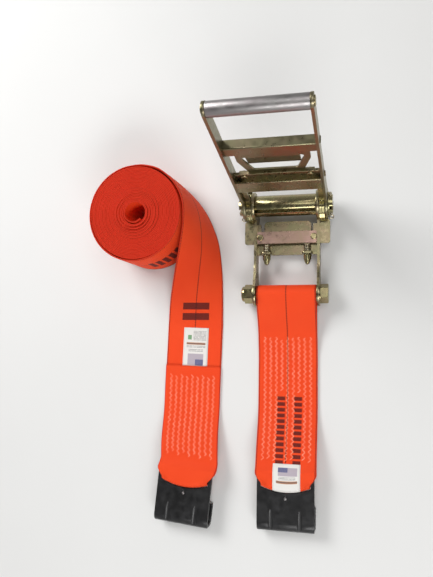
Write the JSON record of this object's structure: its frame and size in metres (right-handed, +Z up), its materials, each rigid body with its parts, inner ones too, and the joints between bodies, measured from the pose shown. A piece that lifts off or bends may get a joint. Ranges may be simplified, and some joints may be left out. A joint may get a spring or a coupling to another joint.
{
  "type": "ratchet tie down",
  "caption": "Wide webbing ratchet with a long handle and short hooked strap, with its separate hooked long strap rolled up beside it.",
  "frame": {"origin": "middle of the whole set's footprint, on the floor it lies on", "axes": "+X to the right along the ratchet's axle, +Y away from the hooks towards the handle, +Z up"},
  "size_m": [0.4084, 0.6212, 0.3108],
  "materials": {
    "zinc": "yellow zinc plated sheet steel, glossy",
    "zinc_turned": "yellow zinc plated turned and stamped steel, glossy",
    "grip_steel": "bright zinc plated tube, satin",
    "spring_steel": "drawn wire",
    "nylon": "matte",
    "webbing": "woven polyester webbing",
    "label": "woven label",
    "black_paint": "semi-gloss black"
  },
  "bodies": {
    "frame": {"frame_plate_left": "zinc", "frame_plate_right": "zinc", "frame_web": "zinc", "anchor_bolt": "zinc_turned", "bolt_washers": "zinc_turned", "lock_nut": "zinc_turned", "lock_nut_insert": "nylon", "bolt_sleeve": "zinc_turned", "lock_pawl_springs": "spring_steel"},
    "drum": {"drum_bar_rear": "zinc_turned", "drum_bar_front": "zinc_turned", "ratchet_wheel_left_inner": "zinc_turned", "ratchet_wheel_left_outer": "zinc_turned", "ratchet_wheel_right_inner": "zinc_turned", "ratchet_wheel_right_outer": "zinc_turned", "drum_washers": "zinc_turned", "cotter_pins": "spring_steel"},
    "handle": {"handle_plate_left": "zinc", "handle_plate_right": "zinc", "grip_tube": "grip_steel", "grip_rod": "zinc_turned", "handle_mid_bar": "zinc", "handle_web": "zinc", "drive_pawl_springs": "spring_steel"},
    "drive_pawl": {"drive_pawl": "zinc", "finger_pull": "zinc", "drive_pawl_rivets": "zinc_turned"},
    "lock_pawl": {"lock_pawl": "zinc", "lock_pawl_bar": "zinc", "lock_pawl_rivets": "zinc_turned", "lock_pawl_keepers": "zinc_turned"},
    "short_strap": {"short_strap": "webbing"},
    "fixed_hook": {"fixed_hook": "black_paint", "fixed_hook_loop": "webbing", "fixed_hook_label": "label"},
    "long_strap": {"long_strap_roll": "webbing", "long_strap_tail": "webbing", "long_strap": "webbing", "long_strap_sewn_end": "webbing", "long_strap_label": "label"},
    "long_hook": {"long_hook": "black_paint", "long_hook_loop": "webbing"}
  },
  "joints": [
    {"name": "handle_swing", "type": "hinge", "parent": "frame", "child": "handle", "pos_m": [0.12385, 0.2397, 0.036], "axis": [-1, 0, 0], "range_deg": [-98, 75]},
    {"name": "drum_turn", "type": "hinge", "parent": "frame", "child": "drum", "pos_m": [0.12385, 0.2397, 0.036], "axis": [-1, 0, 0], "continuous": true},
    {"name": "drive_pawl_lift", "type": "slide", "parent": "handle", "child": "drive_pawl", "axis": [0, 0.2198, 0.9755], "range_m": [0, 0.008], "stiffness_N_per_m": 900, "springref_m": -0.006, "deforming": ["drive_pawl_springs"]},
    {"name": "lock_pawl_slide", "type": "slide", "parent": "frame", "child": "lock_pawl", "axis": [0, -1, 0], "range_m": [0, 0.006], "stiffness_N_per_m": 1200, "springref_m": -0.005, "deforming": ["lock_pawl_springs"]},
    {"name": "short_strap_swing", "type": "hinge", "parent": "frame", "child": "short_strap", "pos_m": [0.12385, 0.0897, 0.021], "axis": [-1, 0, 0], "range_deg": [-90, 60]},
    {"name": "fixed_hook_swing", "type": "hinge", "parent": "short_strap", "child": "fixed_hook", "pos_m": [0.12385, -0.2028, 0.027], "axis": [-1, 0, 0], "range_deg": [-60, 60]},
    {"name": "long_strap_slide", "type": "slide", "parent": "frame", "child": "long_strap", "axis": [-1, 0, 0], "range_m": [0, 0.15]},
    {"name": "long_hook_swing", "type": "hinge", "parent": "long_strap", "child": "long_hook", "pos_m": [-0.04724, -0.20526, 0.027], "axis": [-0.9954, 0.0958, 0], "range_deg": [-60, 60]}
  ]
}
